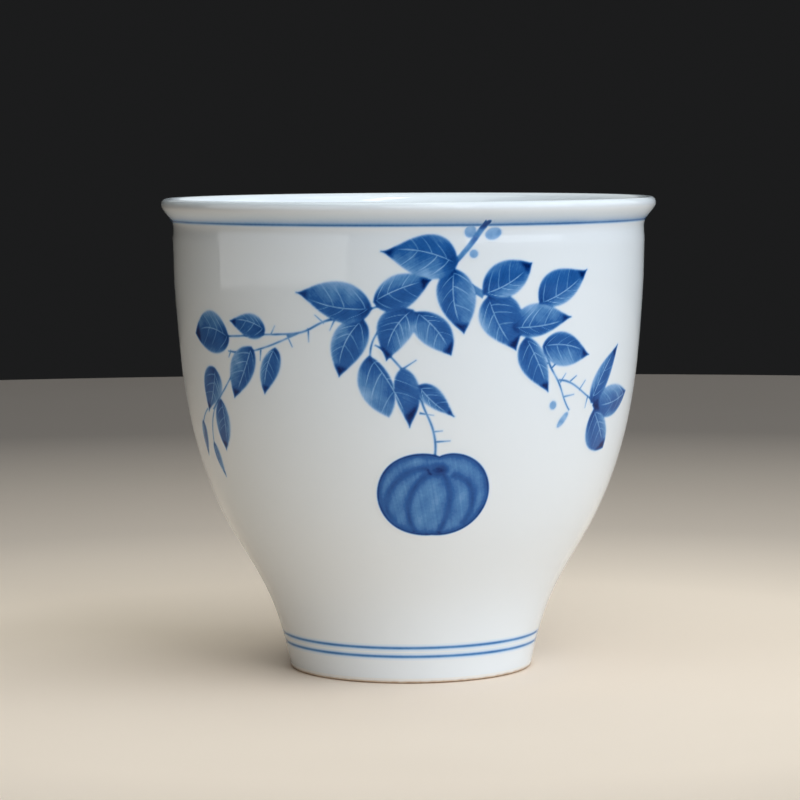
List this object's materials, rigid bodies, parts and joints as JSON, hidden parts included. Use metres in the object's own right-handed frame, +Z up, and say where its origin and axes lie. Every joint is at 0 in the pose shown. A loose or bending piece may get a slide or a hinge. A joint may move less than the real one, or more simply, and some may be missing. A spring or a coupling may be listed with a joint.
{
  "type": "teacup",
  "caption": "Small handleless porcelain teacup with a flared lip, a tapering body on a narrow foot, and a blue painted vine with a round ribbed fruit.",
  "frame": {"origin": "centre of the circle the foot stands on", "axes": "+Z up along the axis of revolution, the painted side faces -Y, +X is to the right of someone facing that side"},
  "size_m": [0.066, 0.066, 0.063],
  "materials": {
    "porcelain": "matte unglazed porcelain",
    "clear_glaze": "glossy",
    "cobalt_band": "glossy",
    "cobalt_line": "glossy",
    "cobalt_wash": "glossy",
    "cobalt_pale": "glossy"
  },
  "bodies": {
    "root": {"porcelain_body": "porcelain", "foot_ring": "porcelain", "outer_glaze": "clear_glaze", "inner_glaze": "clear_glaze", "base_glaze": "clear_glaze", "right_spray_leaves": "cobalt_wash", "right_spray_under_leaves": "cobalt_wash", "centre_spray_leaves": "cobalt_wash", "centre_spray_under_leaves": "cobalt_wash", "left_spray_leaves": "cobalt_wash", "vine_stems": "cobalt_line", "pale_buds": "cobalt_pale", "fruit_lines": "cobalt_line", "fruit_wash": "cobalt_wash", "rim_band": "cobalt_band", "upper_foot_band": "cobalt_band", "lower_foot_band": "cobalt_band"}
  },
  "joints": []
}
